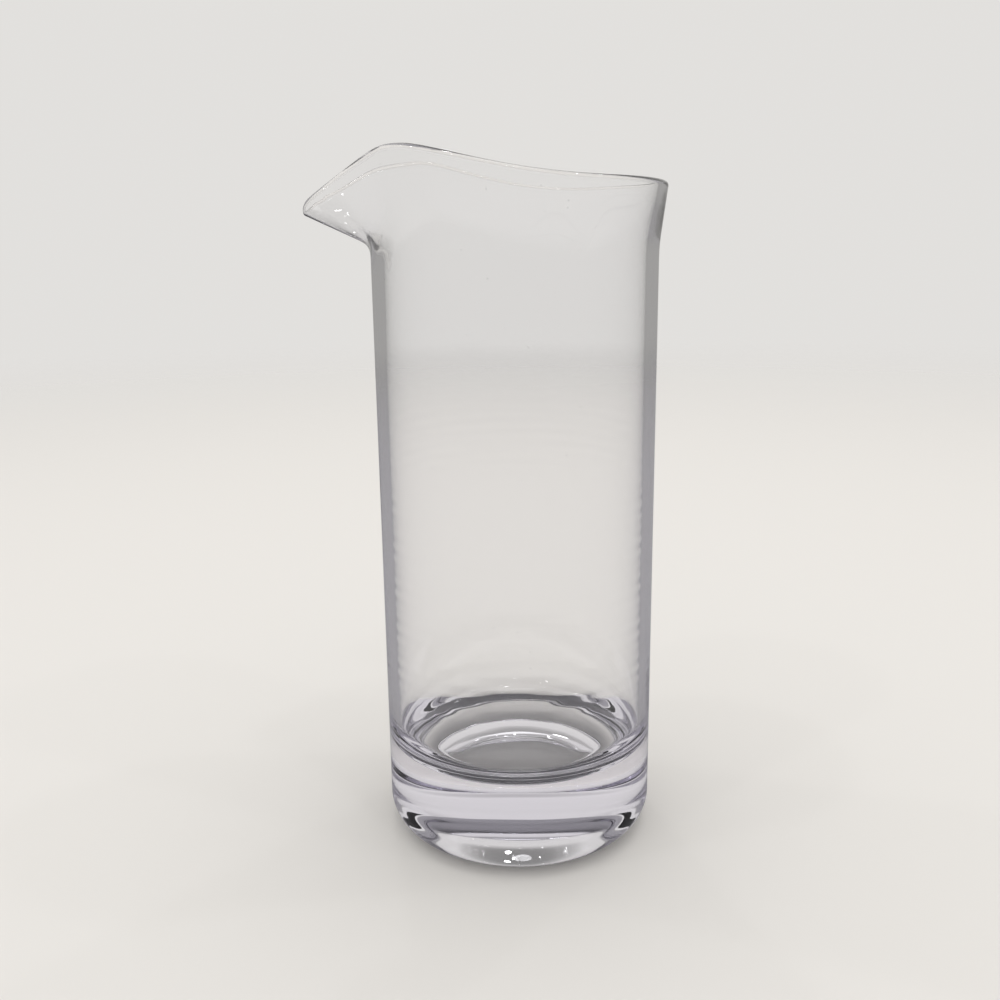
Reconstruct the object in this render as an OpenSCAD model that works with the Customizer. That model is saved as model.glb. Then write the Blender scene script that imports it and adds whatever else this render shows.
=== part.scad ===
// Cocktail pitcher, mouth-blown from one gather of clear glass.
// A straight heavy-based cylinder whose rim was pinched and pulled into a pouring spout.
// The base stands on z = 0, the body's axis is Z, and the spout points to -X.

/* [Body] */
// Outer diameter of the straight body
body_d = 95; // [80:1:110]
// Thickness of the straight wall
wall_t = 4; // [3:0.1:5]

/* [Base] */
// Height of the flat inner floor above the table
floor_h = 29.5; // [22:0.1:36]
// Radius of the rounded outer heel
heel_r = 11.2; // [8:0.1:16]
// Radius of the inner corner between the wall and the floor
corner_r = 13.8; // [8:0.1:20]
// Width of the flat ring that the base stands on
foot_w = 1; // [0.8:0.1:6]
// Depth of the punt, the hollow pushed up into the base from below
punt_depth = 9.4; // [4:0.1:14]

/* [Rim] */
// Height of the rim opposite the spout
back_h = 224.8; // [216:0.2:258]
// Height of the two shoulders beside the spout
shoulder_h = 235.4; // [230:0.2:272]
// Angle between the spout and each shoulder
shoulder_a = 38; // [28:1:46]
// Angle from the spout at which the rim starts to climb
climb_a = 130; // [90:1:160]
// How far the rim flares out past the body
flare = 2.5; // [0.8:0.1:4]
// Height over which the wall flares
flare_h = 20; // [12:1:30]
// Thickness of the fire-polished lip
lip_t = 3.2; // [2.4:0.1:4]

/* [Spout] */
// Distance from the body's axis to the outermost point of the spout
spout_reach = 69; // [62:0.1:80]
// Radius of the spout's tip, seen from above
tip_r = 14; // [6:0.1:18]
// Height of the rim at the spout's tip
tip_h = 216.8; // [213:0.1:230]
// Height at which the spout's underside leaves the body
beak_h = 206; // [198:0.5:210]
// Length over which the wall bends into the underside, on each side of the crease
crease_l = 4; // [3:0.5:9]
// Thickness of the glass in the middle of the spout
spout_t = 1.8; // [1.6:0.1:3]

/* [Hidden] */

$fn = 96;
body_r = body_d / 2;
inner_r = body_r - wall_t;
rim_r = body_r + flare;
lip_r = lip_t / 2;
tip_c = spout_reach - tip_r;

// Half angle that the spout takes of the round rim: its sides run straight
// from the tip's small circle and touch the rim's circle there
spout_a = acos((rim_r - tip_r) / tip_c);
side_l = sqrt(tip_c ^ 2 - (rim_r - tip_r) ^ 2);
tip_arc = tip_r * spout_a * PI / 180;
side_share = tip_arc / (tip_arc + side_l);

// The plain ring ends, and the shaped top begins, this far under the crease
seam_drop = 10;
seam_lap = 1;
seam_inset = 0.03;
seam_h = beak_h - crease_l - seam_drop;

// Fullness of the punt's dome: 2 is an ellipse, and more has a flatter top and a steeper side
punt_power = 2.3;
punt_steps = 32;

// Columns of points on each half of the rim, crowded towards the spout
half_columns = 60;
crowd_power = 1.3;
wall_rows = 15;
lip_rows = 5;

// Softness of the tip, as an angle, and of the shoulders; shapes of the slopes
tip_soft_a = 1;
shoulder_soft_share = 0.1;
climb_power = 1.44;
drop_power = 1.03;
crease_rise_power = 1.3;
// Share of the wall's path above which the spout's glass thins, and the lip's
thin_from_share = 0.5;
lip_from_share = 0.75;
// Share of the sloping wall that the bend may use
bend_limit_share = 0.6;

function ease(t) = let (u = max(0, min(1, t))) u * u * (3 - 2 * u);
function mix(a, b, t) = a + (b - a) * t;
function soft_abs(a) = sqrt(a ^ 2 + tip_soft_a ^ 2) - tip_soft_a;

// Column angles run from -180 to 180, with 0 at the spout
columns = [
    for (k = [-half_columns : half_columns - 1])
        sign(k) * 180 * pow(abs(k) / half_columns, crowd_power)
];

// Height of the top of the rim at angle a
function climb_share(a) = max(0, min(1, (climb_a - a) / (climb_a - shoulder_a)));
function rim_climb(a) = mix(back_h, shoulder_h, ease(pow(climb_share(a), climb_power)));
function drop_share(a) = let (t = 1 - a / shoulder_a) (t + sqrt(t ^ 2 + shoulder_soft_share ^ 2)) / 2;
function rim_h(a) =
    rim_climb(soft_abs(a))
    - (shoulder_h - tip_h) * pow(drop_share(soft_abs(a)), drop_power);

// Outer edge of the rim in plan at angle a
function rim_side(s) = [
    mix(tip_c + tip_r * cos(spout_a), rim_r * cos(spout_a), s),
    mix(tip_r * sin(spout_a), rim_r * sin(spout_a), s)
];
function rim_tip(b) = [tip_c + tip_r * cos(b), tip_r * sin(b)];
function rim_half(a) =
    let (d = a / spout_a)
    d >= 1 ? [rim_r * cos(a), rim_r * sin(a)]
    : d < side_share ? rim_tip(spout_a * d / side_share)
    : rim_side((d - side_share) / (1 - side_share));
function rim_plan(a) = let (p = rim_half(abs(a))) [-p.x, -sign(a) * p.y];

// Height at which the wall starts to lean outwards at angle a
function bend_h(a) =
    abs(a) < spout_a
    ? mix(beak_h, rim_h(spout_a) - flare_h, pow(abs(a) / spout_a, crease_rise_power))
    : rim_h(a) - flare_h;

// One column of the outer wall: straight up, round the bend, straight to the lip
function body_point(a, h) = [-body_r * cos(a), -body_r * sin(a), h];
function lip_point(a) = let (p = rim_plan(a)) [p.x, p.y, rim_h(a) - lip_r];
function wall_point(a, s) =
    let (
        q = body_point(a, bend_h(a)),
        c = lip_point(a),
        slope_l = norm(c - q),
        out = (c - q) / slope_l,
        m = min(crease_l, bend_limit_share * slope_l),
        low = q - [0, 0, crease_l],
        high = q + m * out,
        l1 = low.z - (seam_h - seam_lap),
        l2 = crease_l + m,
        l3 = slope_l - m,
        d = s * (l1 + l2 + l3),
        t = (d - l1) / l2
    )
    d <= l1 ? body_point(a, seam_h - seam_lap + d)
    : d <= l1 + l2 ? (1 - t) ^ 2 * low + 2 * t * (1 - t) * q + t ^ 2 * high
    : high + (d - l1 - l2) * out;

outer = [for (a = columns) [for (r = [0 : wall_rows]) wall_point(a, r / wall_rows)]];
column_count = len(columns);

// Glass thickness at column i and row r
function spout_share(a) = 1 - ease(abs(a) / spout_a);
function glass_t(a, s) =
    wall_t
    + (spout_t - wall_t) * spout_share(a) * ease((s - thin_from_share) / (1 - thin_from_share))
    + (lip_t - wall_t) * (1 - spout_share(a)) * ease((s - lip_from_share) / (1 - lip_from_share));

function around(i) = (i + column_count) % column_count;
function normal_at(i, r) =
    let (
        du = outer[around(i + 1)][r] - outer[around(i - 1)][r],
        dv = outer[i][min(r + 1, wall_rows)] - outer[i][max(r - 1, 0)],
        n = cross(du, dv)
    )
    n / norm(n);
function inner_at(i, r) = outer[i][r] - glass_t(columns[i], r / wall_rows) * normal_at(i, r);

// The lap inside the plain ring stays just within its glass
function inset(p, by) = let (f = 1 - by / norm([p.x, p.y])) [p.x * f, p.y * f, p.z];

function lip_arc(i, k) =
    let (
        o = outer[i][wall_rows],
        n = inner_at(i, wall_rows),
        mid = (o + n) / 2,
        rise = outer[i][wall_rows] - outer[i][wall_rows - 1],
        b = 180 * k / (lip_rows + 1)
    )
    mid + (o - n) / 2 * cos(b) + rise / norm(rise) * norm(o - n) / 2 * sin(b);

function column_points(i) = concat(
    [for (r = [0 : wall_rows]) inset(outer[i][r], seam_inset)],
    [for (k = [1 : lip_rows]) lip_arc(i, k)],
    [for (r = [wall_rows : -1 : 0]) inset(inner_at(i, r), r == 0 ? -seam_inset : 0)]
);

module shaped_top() {
    rings = 2 * (wall_rows + 1) + lip_rows;
    points = [for (i = [0 : column_count - 1]) each column_points(i)];
    faces = [
        for (i = [0 : column_count - 1], k = [0 : rings - 1])
            let (
                a = i * rings + k,
                b = i * rings + (k + 1) % rings,
                c = around(i + 1) * rings + (k + 1) % rings,
                d = around(i + 1) * rings + k
            )
            each [[a, b, c], [a, c, d]]
    ];
    polyhedron(points, faces, convexity = 6);
}

// Half section of the body's outside, up to the seam
module outside_half() {
    translate([0, heel_r])
        square([body_r, seam_h - heel_r]);
    square([body_r - heel_r, seam_h]);
    translate([body_r - heel_r, heel_r])
        circle(heel_r);
}

// Half section of the hollow, open past the seam
module hollow_half() {
    translate([0, floor_h + corner_r]) {
        square([inner_r, 2 * seam_h]);
        translate([inner_r - corner_r, 0])
            circle(corner_r);
        translate([0, -corner_r])
            square([inner_r - corner_r, 2 * corner_r]);
    }
}

// Half section of the punt, open below the table
module punt_half() {
    punt_r = body_r - heel_r - foot_w;
    dome = [
        for (k = [0 : punt_steps])
            let (f = 90 * k / punt_steps)
            [punt_r * pow(sin(f), 2 / punt_power), punt_depth * pow(cos(f), 2 / punt_power)]
    ];
    polygon(concat([[punt_r, -punt_depth], [0, -punt_depth]], dome));
}

module heavy_cylinder() {
    rotate_extrude()
        difference() {
            outside_half();
            hollow_half();
            punt_half();
            translate([-body_r, 0])
                square([body_r, seam_h]);
        }
}

module pitcher() {
    color([0.86, 0.88, 0.92, 0.45])
        union() {
            heavy_cylinder();
            shaped_top();
        }
}

pitcher();
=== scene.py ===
# Cocktail pitcher, mouth-blown from one gather of clear glass, standing on a pale studio floor.
import math

import bpy
import numpy as np
from mathutils import Matrix, Vector


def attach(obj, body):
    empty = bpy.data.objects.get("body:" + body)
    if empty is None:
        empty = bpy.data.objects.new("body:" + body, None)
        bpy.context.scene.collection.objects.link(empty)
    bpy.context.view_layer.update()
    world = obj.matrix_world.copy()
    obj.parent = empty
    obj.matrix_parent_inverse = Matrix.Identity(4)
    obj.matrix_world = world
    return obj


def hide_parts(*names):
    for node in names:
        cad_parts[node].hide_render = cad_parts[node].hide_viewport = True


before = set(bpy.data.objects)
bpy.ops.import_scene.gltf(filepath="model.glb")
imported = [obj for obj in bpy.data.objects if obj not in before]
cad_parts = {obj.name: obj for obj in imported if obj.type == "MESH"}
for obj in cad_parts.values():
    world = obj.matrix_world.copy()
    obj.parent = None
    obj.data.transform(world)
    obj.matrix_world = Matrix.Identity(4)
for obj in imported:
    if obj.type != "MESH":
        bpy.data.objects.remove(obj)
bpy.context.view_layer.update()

# The rim and the spout. The mouth of the blown cylinder is heated again, raised into two
# shoulders and flared a little, then its front is pinched and pulled into a V-shaped spout.
# Lengths are in millimetres. Angles start at the spout and are positive on the +Y side.
BODY_R = 47.5
RIM_R = 49.95
BACK_H = 224.8
SHOULDER_H = 235.3
SHOULDER_A = math.radians(38)
SHOULDER_SOFT = 0.1
CLIMB_A = math.radians(130)
CLIMB_POWER = 1.44
FLARE_H = 20
SPOUT_REACH = 69
TIP_R = 14
TIP_H = 216.8
TIP_SOFT_A = math.radians(1)
DROP_POWER = 1.03
BEAK_H = 206
CREASE_L = 4
CREASE_RISE = 1.3
BEND_LIMIT = 0.6

TIP_C = SPOUT_REACH - TIP_R
SPOUT_A = math.acos((RIM_R - TIP_R) / TIP_C)
SIDE_L = math.sqrt(TIP_C**2 - (RIM_R - TIP_R) ** 2)
TIP_ARC = TIP_R * SPOUT_A


def ease(share):
    t = np.clip(share, 0, 1)
    return t * t * (3 - 2 * t)


def rim_height(angle):
    """Height of the top of the rim."""
    a = np.sqrt(angle**2 + TIP_SOFT_A**2) - TIP_SOFT_A
    climb = np.clip((CLIMB_A - a) / (CLIMB_A - SHOULDER_A), 0, 1) ** CLIMB_POWER
    drop = 1 - a / SHOULDER_A
    drop = (drop + np.sqrt(drop**2 + SHOULDER_SOFT**2)) / 2
    crest = BACK_H + (SHOULDER_H - BACK_H) * ease(climb)
    return crest - (SHOULDER_H - TIP_H) * drop**DROP_POWER


def rim_plan(angle):
    """Outer edge of the rim from above: a circle, two straight sides and the round tip."""
    a = np.abs(angle)
    path = (TIP_ARC + SIDE_L) * a / SPOUT_A
    on_tip = path < TIP_ARC
    on_side = (a < SPOUT_A) & ~on_tip
    turn = path / TIP_R
    along = (path - TIP_ARC) / SIDE_L
    tip_end = (TIP_C + TIP_R * math.cos(SPOUT_A), TIP_R * math.sin(SPOUT_A))
    side_end = (RIM_R * math.cos(SPOUT_A), RIM_R * math.sin(SPOUT_A))
    x = np.where(on_tip, TIP_C + TIP_R * np.cos(turn), RIM_R * np.cos(a))
    y = np.where(on_tip, TIP_R * np.sin(turn), RIM_R * np.sin(a))
    x = np.where(on_side, tip_end[0] + (side_end[0] - tip_end[0]) * along, x)
    y = np.where(on_side, tip_end[1] + (side_end[1] - tip_end[1]) * along, y)
    return -x, np.sign(angle) * y


def bend_height(angle):
    """Height at which the wall starts to lean outwards."""
    a = np.abs(angle)
    side_bend = rim_height(SPOUT_A) - FLARE_H
    beak = BEAK_H + (side_bend - BEAK_H) * np.clip(a / SPOUT_A, 0, 1) ** CREASE_RISE
    return np.where(a < SPOUT_A, beak, rim_height(angle) - FLARE_H)


# The wall above the plain cylinder, as a net of points: columns round the body and rows up it.
# The rows crowd towards the lip, and the columns towards the spout.
WALL_T = 4
LIP_TS = ((0, 1.8), (14, 3.0), (36, 4.2), (90, 3.2), (180, 3.1))
LIP_TALL = 0.9
LIP_STEPS = 12
COLUMNS = 420
CROWD_POWER = 1.25
SHAPED_FROM_H = 180
LIP_ZONE = 6
LIP_ROWS = 20
SHAPED_ROWS = 60
THIN_FROM = 0.5
SPOUT_THIN_FROM = 0.3
SPOUT_THIN_TO = 0.62
SMOOTH_PASSES = 2

share_round = np.linspace(-1, 1, COLUMNS, endpoint=False)
angles = math.pi * np.sign(share_round) * np.abs(share_round) ** CROWD_POWER


def lip_thickness():
    """Thickness of the lip at every column: thin at the spout's tip, heavy at the shoulders."""
    a = np.degrees(np.abs(angles))
    thickness = np.full(COLUMNS, float(LIP_TS[0][1]))
    for (a0, t0), (a1, t1) in zip(LIP_TS, LIP_TS[1:]):
        thickness += (t1 - t0) * ease((a - a0) / (a1 - a0))
    return thickness


def outer_net():
    """Outside of the shaped wall, and the distance of its rows from the lip."""
    out_x, out_y = rim_plan(angles)
    lip = np.stack([out_x, out_y, rim_height(angles) - LIP_TALL * lip_thickness() / 2], 1)
    bend_at = bend_height(angles)
    bend = np.stack([-BODY_R * np.cos(angles), BODY_R * np.sin(angles), bend_at], 1)
    slope_l = np.linalg.norm(lip - bend, axis=1)[:, None]
    out = (lip - bend) / slope_l
    lead = np.minimum(CREASE_L, BEND_LIMIT * slope_l)
    low = bend - [0, 0, CREASE_L]
    high = bend + lead * out
    straight_l = low[:, 2:] - SHAPED_FROM_H
    bend_l = CREASE_L + lead
    total = straight_l + bend_l + slope_l - lead
    near = np.linspace(0, LIP_ZONE, LIP_ROWS, endpoint=False)
    far = np.linspace(0, 1, SHAPED_ROWS)
    to_lip = np.concatenate([np.tile(near, (COLUMNS, 1)), LIP_ZONE + (total - LIP_ZONE) * far], 1)
    to_lip = to_lip[:, ::-1]
    d = (total - to_lip)[:, :, None]
    t = (d - straight_l[:, None]) / bend_l[:, None]
    up = low[:, None] + (d - straight_l[:, None]) * [0, 0, 1]
    curve = (1 - t) ** 2 * low[:, None] + 2 * t * (1 - t) * bend[:, None] + t**2 * high[:, None]
    lean = high[:, None] + (d - (straight_l + bend_l)[:, None]) * out[:, None]
    net = np.where(t <= 0, up, np.where(t <= 1, curve, lean))
    for _ in range(SMOOTH_PASSES):
        net[:, 1:-1] = (net[:, :-2] + 2 * net[:, 1:-1] + net[:, 2:]) / 4
        net = (np.roll(net, 1, 0) + 2 * net + np.roll(net, -1, 0)) / 4
    return net, to_lip


def outward(net):
    """Unit normals of a net of points."""
    round_way = np.roll(net, 1, 0) - np.roll(net, -1, 0)
    up_way = np.gradient(net, axis=1)
    normal = np.cross(round_way, up_way)
    return normal / np.linalg.norm(normal, axis=2, keepdims=True)


def shaped_wall():
    """Rows of the outside, the round lip and the inside, from the cylinder over to the cylinder."""
    outside, to_lip = outer_net()
    normal = outward(outside)
    up_share = 1 - to_lip / to_lip[:, :1]
    pulled = 1 - ease(np.abs(angles) / SPOUT_A)[:, None]
    thin_from = THIN_FROM + (SPOUT_THIN_FROM - THIN_FROM) * pulled
    thin_to = 1 + (SPOUT_THIN_TO - 1) * pulled
    thinning = ease((up_share - thin_from) / (thin_to - thin_from))
    thickness = WALL_T + (lip_thickness()[:, None] - WALL_T) * thinning
    inside = outside - normal * thickness[:, :, None]
    top_out, top_in = outside[:, -1], inside[:, -1]
    middle, half = (top_out + top_in) / 2, (top_out - top_in) / 2
    rise = top_out - outside[:, -2] + top_in - inside[:, -2]
    rise = rise / np.linalg.norm(rise, axis=1, keepdims=True)
    tall = LIP_TALL * np.linalg.norm(half, axis=1, keepdims=True)
    turns = np.pi * np.arange(1, LIP_STEPS) / LIP_STEPS
    lip = [middle + half * math.cos(b) + rise * tall * math.sin(b) for b in turns]
    return [*outside.swapaxes(0, 1)], lip, [*inside[:, ::-1].swapaxes(0, 1)]


# The straight wall, the heavy base and the hollow. The bubble ends in a flat floor above thick
# glass, whose underside is pushed up into a deep punt while it is soft, so the pitcher stands on
# a narrow ring. The tool that trues the turning glass leaves faint rings round the lower wall.
HEEL_R = 11.2
HEEL_STEPS = 32
FOOT_W = 1.0
FOOT_STEPS = 3
PUNT_DEPTH = 9.4
PUNT_POWER = 2.3
PUNT_STEPS = 90
FLOOR_H = 29.5
FLAT_STEPS = 40
CORNER_R = 13.8
CORNER_STEPS = 40
WALL_STEPS = 150
RING_DEPTH_OUT = 0.006
RING_DEPTH_IN = 0.015
RING_PITCH = 4.1
RING_SWING = 0.6
BEAT_PITCH = 5.7
BEAT_SWING = 0.4
BEAT_TURNS = 2
BEAT_START = 1
RINGS_FROM = (46, 62)
RINGS_TO = (112, 160)
MM_PER_M = 1000

INNER_R = BODY_R - WALL_T
PUNT_R = BODY_R - HEEL_R - FOOT_W


def tool_rings(z, depth):
    """Depth of the rings at height z, for every column: a slow screw with an uneven beat."""
    fade = ease((z - RINGS_FROM[0]) / (RINGS_FROM[1] - RINGS_FROM[0]))
    fade = fade * (1 - ease((z - RINGS_TO[0]) / (RINGS_TO[1] - RINGS_TO[0])))
    wave = np.sin(2 * math.pi * z / RING_PITCH + angles)
    beat = np.sin(2 * math.pi * z / BEAT_PITCH - BEAT_TURNS * angles + BEAT_START)
    return depth * fade * (1 + RING_SWING * wave + BEAT_SWING * beat)


def circle(radius, z):
    """One row of points round the axis."""
    r = np.broadcast_to(radius, angles.shape)
    return np.stack([-r * np.cos(angles), r * np.sin(angles), np.full(COLUMNS, z)], 1)


def outer_base():
    """Rows from the top of the punt out to the foot, round the heel and up the wall."""
    rows = []
    for b in np.linspace(0, math.pi / 2, PUNT_STEPS)[1:-1]:
        r = PUNT_R * math.sin(b) ** (2 / PUNT_POWER)
        rows.append(circle(r, PUNT_DEPTH * math.cos(b) ** (2 / PUNT_POWER)))
    rows += [circle(PUNT_R + FOOT_W * k / FOOT_STEPS, 0) for k in range(FOOT_STEPS)]
    for b in np.linspace(0, math.pi / 2, HEEL_STEPS):
        rows.append(circle(BODY_R - HEEL_R + HEEL_R * math.sin(b), HEEL_R * (1 - math.cos(b))))
    for z in np.linspace(HEEL_R, SHAPED_FROM_H, WALL_STEPS)[1:-1]:
        rows.append(circle(BODY_R - tool_rings(z, RING_DEPTH_OUT), z))
    return rows


def inner_base():
    """Rows down the inside of the straight wall, round its foot and in over the floor."""
    rows = []
    for z in np.linspace(SHAPED_FROM_H, FLOOR_H + CORNER_R, WALL_STEPS)[1:]:
        rows.append(circle(INNER_R + tool_rings(z, RING_DEPTH_IN), z))
    for b in np.linspace(0, math.pi / 2, CORNER_STEPS)[1:]:
        inward, down = CORNER_R * (1 - math.cos(b)), CORNER_R * math.sin(b)
        rows.append(circle(INNER_R - inward, FLOOR_H + CORNER_R - down))
    for r in np.linspace(INNER_R - CORNER_R, 0, FLAT_STEPS)[1:-1]:
        rows.append(circle(r, FLOOR_H))
    return rows


def vessel_mesh():
    """One closed mesh: the rows in one long path from the punt to the floor of the hollow."""
    wall_out, lip, wall_in = shaped_wall()
    rows = np.array(outer_base() + wall_out + lip + wall_in + inner_base())
    count = len(rows)
    ends = [[0, 0, PUNT_DEPTH], [0, 0, FLOOR_H]]
    points = np.concatenate([rows.reshape(-1, 3), ends]) / MM_PER_M
    here = np.arange(COLUMNS)
    there = (here + 1) % COLUMNS
    start = (COLUMNS * np.arange(count - 1))[:, None]
    quads = np.stack([start + here, start + COLUMNS + here, start + COLUMNS + there, start + there], 2)
    last = COLUMNS * (count - 1)
    below = np.stack([np.full(COLUMNS, COLUMNS * count), here, there], 1)
    floor = np.stack([np.full(COLUMNS, COLUMNS * count + 1), last + there, last + here], 1)
    faces = quads.reshape(-1, 4).tolist() + below.tolist() + floor.tolist()
    mesh = bpy.data.meshes.new("pitcher_glass")
    mesh.from_pydata(points.tolist(), [], faces)
    mesh.shade_smooth()
    return mesh


pitcher = bpy.data.objects.new("pitcher_glass", vessel_mesh())
bpy.context.scene.collection.objects.link(pitcher)


# Fire-polished soda-lime glass: blown, so its skin is as smooth as a liquid's. It is colourless
# in the thin wall, and the decolouring agent in it gives the thick base a faint lavender cast.
# The skin is a little wavy along the drawn wall, and handling leaves smudges and specks of dust.
# Real dust is finer: it is drawn as coarse as it needs to be to show at all.
GLASS_IOR = 1.52
LAVENDER = "E3DFF0"
ABSORPTION_PER_M = 6
WAVE_WIDTH = 33.3
WAVE_LENGTH = 100
WAVE_RELIEF = 0.4
SMUDGE_WIDTH = 22.2
SMUDGE_FROM_TO = (0.56, 0.72)
SMUDGE_ROUGHNESS = 0.03
SPECK_CELL = 3.85
SPECK_EDGE = (0.05, 0.11)
SPECK_COVER = 0.15
CELLS_WITHOUT_SPECK = 0.93


def linear(hex_colour):
    """An sRGB hex value as a linear colour with full alpha."""
    parts = [int(hex_colour[k : k + 2], 16) / 255 for k in (0, 2, 4)]
    return [p / 12.92 if p <= 0.04045 else ((p + 0.055) / 1.055) ** 2.4 for p in parts] + [1]


def add(tree, kind, settings=None, links=None):
    """Adds a node, sets its inputs or properties by name, and links its inputs."""
    node = tree.nodes.new(kind)
    for name, value in (settings or {}).items():
        if isinstance(name, int) or name in node.inputs:
            node.inputs[name].default_value = value
        else:
            setattr(node, name, value)
    for name, source in (links or {}).items():
        tree.links.new(source, node.inputs[name])
    return node


def new_material(name):
    material = bpy.data.materials.new(name)
    material.use_nodes = True
    material.node_tree.nodes.clear()
    return material, material.node_tree


def spread(tree, value, low, high, out_low, out_high):
    """A number moved from one range to another, and held there."""
    return add(tree, "ShaderNodeMapRange", {
        "From Min": low,
        "From Max": high,
        "To Min": out_low,
        "To Max": out_high,
    }, {"Value": value}).outputs[0]


glass, tree = new_material("fire_polished_soda_lime_glass")
place = add(tree, "ShaderNodeTexCoord").outputs["Object"]
waves_per_m = [MM_PER_M / size for size in (WAVE_WIDTH, WAVE_WIDTH, WAVE_LENGTH)]
drawn = add(tree, "ShaderNodeMapping", {"Scale": waves_per_m}, {"Vector": place}).outputs[0]
waves = add(tree, "ShaderNodeTexNoise", {"Scale": 1, "Detail": 1}, {"Vector": drawn}).outputs[0]
relief = add(tree, "ShaderNodeBump", {"Distance": WAVE_RELIEF / MM_PER_M}, {"Height": waves}).outputs[0]

hazy = add(tree, "ShaderNodeTexNoise", {
    "Scale": MM_PER_M / SMUDGE_WIDTH,
    "Detail": 3,
}, {"Vector": place}).outputs[0]
smudge = spread(tree, hazy, *SMUDGE_FROM_TO, 0, SMUDGE_ROUGHNESS)

cells = add(tree, "ShaderNodeTexVoronoi", {"Scale": MM_PER_M / SPECK_CELL}, {"Vector": place})
speck = spread(tree, cells.outputs["Distance"], *SPECK_EDGE, SPECK_COVER, 0)
chance = add(tree, "ShaderNodeSeparateColor", links={"Color": cells.outputs["Color"]}).outputs[0]
held = add(tree, "ShaderNodeMath", {
    "operation": "GREATER_THAN",
    1: CELLS_WITHOUT_SPECK,
}, {0: chance}).outputs[0]
dust = add(tree, "ShaderNodeMath", {"operation": "MULTIPLY"}, {0: speck, 1: held}).outputs[0]

skin = add(tree, "ShaderNodeBsdfPrincipled", {
    "Base Color": (1, 1, 1, 1),
    "IOR": GLASS_IOR,
}, {
    "Transmission Weight": spread(tree, dust, 0, 1, 1, 0),
    "Roughness": smudge,
    "Normal": relief,
})
cast = add(tree, "ShaderNodeVolumeAbsorption", {"Color": linear(LAVENDER), "Density": ABSORPTION_PER_M})
add(tree, "ShaderNodeOutputMaterial", links={"Surface": skin.outputs[0], "Volume": cast.outputs[0]})
pitcher.data.materials.append(glass)

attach(pitcher, "root")
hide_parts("pitcher")


# The camera stands where the photograph was taken, as far as the fit tells: close in front of the
# pitcher and a little below its rim, looking down. From here on, lengths are in metres.
FOCAL_PX = 1028
IMAGE_PX = 1000
SENSOR_MM = 36
CLIP_START = 0.01
CAMERA_DISTANCE = 0.35112
CAMERA_HEIGHT = 0.20261
PITCH = math.radians(13.405)
ROLL = math.radians(-0.742)
YAW = math.radians(-0.961)

forward = Vector((
    math.sin(YAW) * math.cos(PITCH),
    math.cos(YAW) * math.cos(PITCH),
    -math.sin(PITCH),
))
level = Vector((math.cos(YAW), -math.sin(YAW), 0))
upright = level.cross(forward)
side = math.cos(ROLL) * level + math.sin(ROLL) * upright
top = -math.sin(ROLL) * level + math.cos(ROLL) * upright
camera = bpy.data.objects.new("camera", bpy.data.cameras.new("camera"))
camera.data.sensor_width = SENSOR_MM
camera.data.lens = SENSOR_MM * FOCAL_PX / IMAGE_PX
camera.data.clip_start = CLIP_START
camera.matrix_world = Matrix((
    (side.x, top.x, -forward.x, 0),
    (side.y, top.y, -forward.y, -CAMERA_DISTANCE),
    (side.z, top.z, -forward.z, CAMERA_HEIGHT),
    (0, 0, 0, 1),
))
bpy.context.scene.collection.objects.link(camera)
bpy.context.scene.camera = camera


# The studio floor: matt pale paper, so wide that it reaches the horizon, where it fades into the equally
# pale surroundings. Where the glass mirrors it, the floor is painted a darker grey: painted shade that
# draws the glass's edges.
FLOOR_R = 4
FLOOR_FADE = (0.5, 2.2)
FLOOR_STEPS = 128
FLOOR_COLOUR = "E4E2DF"
MIRRORED_FLOOR_PAINTED_SHADE = "9C9B9F"

paper, tree = new_material("matt_paper")
place = add(tree, "ShaderNodeTexCoord")
distance = add(tree, "ShaderNodeVectorMath", {"operation": "LENGTH"}, {0: place.outputs["Object"]})
fade = add(tree, "ShaderNodeMapRange", {
    "From Min": FLOOR_FADE[0],
    "From Max": FLOOR_FADE[1],
    "interpolation_type": "SMOOTHSTEP",
}, {"Value": distance.outputs["Value"]})
# Painted shade: rays that the glass has mirrored see the floor in a darker grey than it has.
ray = add(tree, "ShaderNodeLightPath")
mirrored = add(tree, "ShaderNodeMath", {"operation": "MINIMUM", 1: 1}, {0: ray.outputs["Glossy Depth"]})
tone = add(tree, "ShaderNodeMix", {
    "data_type": "RGBA",
    "A": linear(FLOOR_COLOUR),
    "B": linear(MIRRORED_FLOOR_PAINTED_SHADE),
}, {"Factor": mirrored.outputs[0]})
sheet = add(tree, "ShaderNodeBsdfDiffuse", links={"Color": tone.outputs["Result"]})
clear = add(tree, "ShaderNodeBsdfTransparent")
blend = add(tree, "ShaderNodeMixShader", links={
    0: fade.outputs[0],
    1: sheet.outputs[0],
    2: clear.outputs[0],
})
add(tree, "ShaderNodeOutputMaterial", links={"Surface": blend.outputs[0]})

floor_mesh = bpy.data.meshes.new("studio_floor")
turns = [2 * math.pi * k / FLOOR_STEPS for k in range(FLOOR_STEPS)]
edge = [(FLOOR_R * math.cos(turn), FLOOR_R * math.sin(turn), 0) for turn in turns]
floor_mesh.from_pydata(edge, [], [range(FLOOR_STEPS)])
floor_mesh.materials.append(paper)
studio_floor = bpy.data.objects.new("studio_floor", floor_mesh)
bpy.context.scene.collection.objects.link(studio_floor)
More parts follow.
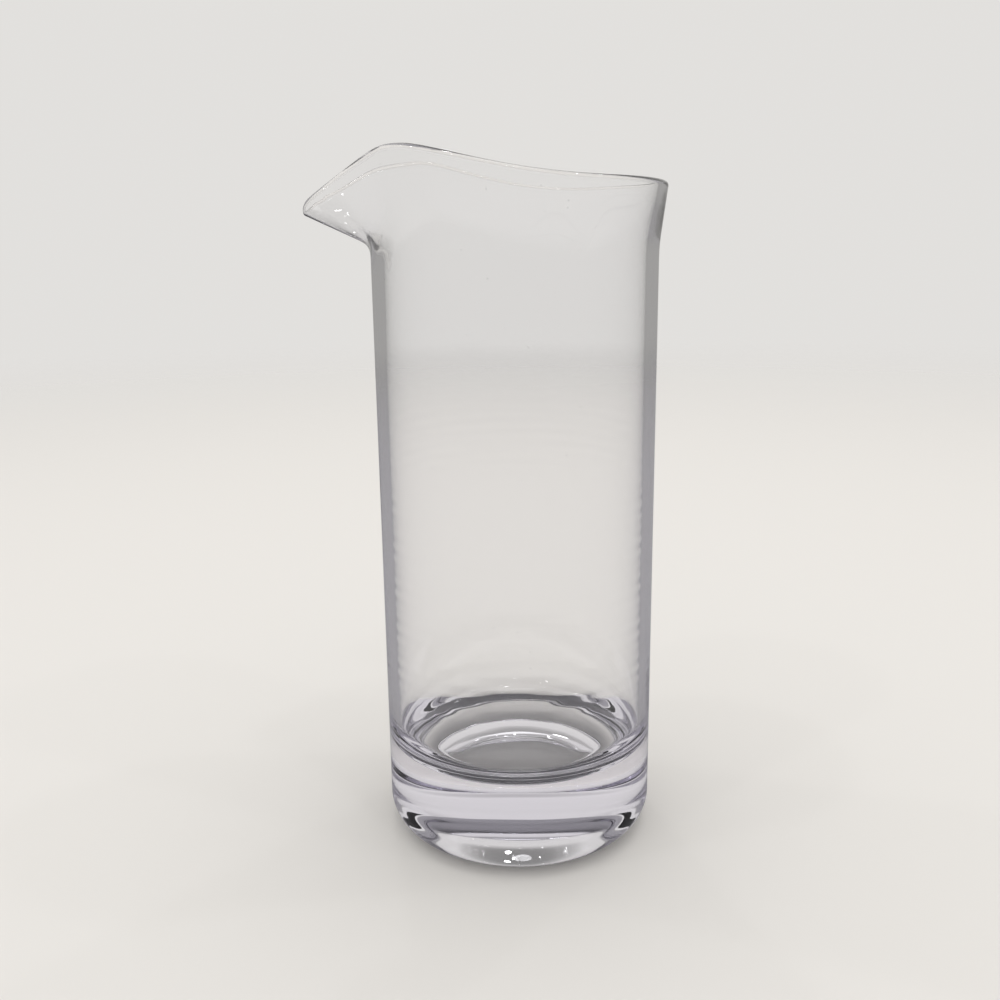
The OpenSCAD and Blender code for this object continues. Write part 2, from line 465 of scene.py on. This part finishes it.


# The studio light: pale surroundings, one wide soft box and nine small ceiling lamps, which give the lip
# and the spout their bright points. As dark cards would in a photograph of clear glass, painted shade
# draws its edges: the sky it bends into view is painted darker overhead, and the sky it mirrors is
# painted darker low down and overhead, while the sky seen straight stays pale. This painted darker sky
# also dims the light that reaches the floor by way of the glass, so the shadow there is darker.
SOFT_BOX_PLACE = (0.1, 0.2, 2.2)
SOFT_BOX_D = 1.1
SOFT_BOX_POWER = 3.5
SPOTS = (
    (-1.1, 0.4), (-0.6, -0.3), (-0.9, -0.9), (-0.2, 0.8), (0.3, -0.5),
    (0.9, 0.1), (0.8, 1.0), (0.1, -1.2), (1.3, -0.7),
)
SPOT_HEIGHT = 1.9
SPOT_D = 0.09
SPOT_POWER = 1.1
LAMPS_AIM_H = 0.12
SKY = ((0.0, 0.76), (0.6, 0.76), (1.0, 0.9))
# Painted shade: the sky as bent into view and as mirrored by the glass, darker than the sky seen
# straight.
BENT_SKY = ((0.0, 0.76), (0.58, 0.76), (0.72, 0.5), (0.85, 0.32), (1.0, 0.25))
MIRRORED_SKY = ((0.0, 0.3), (0.53, 0.35), (0.62, 0.78), (0.85, 0.74), (0.94, 0.3), (1.0, 0.2))
SKY_TINT = "FFFDFA"


def add_lamp(name, place, diameter, power):
    lamp = bpy.data.lights.new(name, "AREA")
    lamp.shape = "DISK"
    lamp.size = diameter
    lamp.energy = power
    holder = bpy.data.objects.new(name, lamp)
    holder.location = place
    aim = Vector((0, 0, LAMPS_AIM_H)) - holder.location
    holder.rotation_euler = aim.to_track_quat("-Z", "Y").to_euler()
    bpy.context.scene.collection.objects.link(holder)


add_lamp("soft_box", SOFT_BOX_PLACE, SOFT_BOX_D, SOFT_BOX_POWER)
for number, (x, y) in enumerate(SPOTS):
    add_lamp(f"ceiling_lamp_{number}", (x, y, SPOT_HEIGHT), SPOT_D, SPOT_POWER)

world = bpy.data.worlds.new("studio")
world.use_nodes = True
world.node_tree.nodes.clear()
direction = add(world.node_tree, "ShaderNodeTexCoord")
height = add(world.node_tree, "ShaderNodeSeparateXYZ", links={0: direction.outputs["Generated"]})
share = add(world.node_tree, "ShaderNodeMapRange", {
    "From Min": -1,
    "From Max": 1,
}, {"Value": height.outputs["Z"]})


def sky(stops):
    """A grey scale from the nadir to the zenith."""
    ramp = add(world.node_tree, "ShaderNodeValToRGB", links={"Fac": share.outputs[0]})
    while len(ramp.color_ramp.elements) < len(stops):
        ramp.color_ramp.elements.new(0.5)
    for stop, (at, grey) in zip(ramp.color_ramp.elements, stops):
        stop.position = at
        stop.color = [part * grey for part in linear(SKY_TINT)[:3]] + [1]
    return ramp.outputs["Color"]


def seen(before, depth, stops):
    """Paints shade into the sky for rays that met glass in one of the two ways, and come straight from
    it: they see the given darker stops instead.
    """
    sky_tree = world.node_tree
    met = add(sky_tree, "ShaderNodeMath", {"operation": "MINIMUM", 1: 1}, {0: ray.outputs[depth]})
    direct = add(sky_tree, "ShaderNodeMath", {"operation": "MULTIPLY"}, {0: met.outputs[0], 1: straight})
    return add(sky_tree, "ShaderNodeMix", {"data_type": "RGBA"}, {
        "Factor": direct.outputs[0],
        "A": before,
        "B": sky(stops),
    }).outputs["Result"]


ray = add(world.node_tree, "ShaderNodeLightPath")
straight = add(world.node_tree, "ShaderNodeMath", {"operation": "SUBTRACT", 0: 1}, {
    1: ray.outputs["Is Diffuse Ray"],
}).outputs[0]
# Painted shade: rays coming from the glass see the darker BENT_SKY and MIRRORED_SKY.
tone = seen(seen(sky(SKY), "Transmission Depth", BENT_SKY), "Glossy Depth", MIRRORED_SKY)
background = add(world.node_tree, "ShaderNodeBackground", links={"Color": tone})
add(world.node_tree, "ShaderNodeOutputWorld", links={"Surface": background.outputs[0]})
bpy.context.scene.world = world

# Light crosses many faces of glass before it leaves the base again
BOUNCES = 24
bpy.context.scene.cycles.max_bounces = BOUNCES
bpy.context.scene.cycles.transmission_bounces = BOUNCES
bpy.context.scene.cycles.glossy_bounces = BOUNCES
bpy.context.scene.view_settings.view_transform = "Standard"
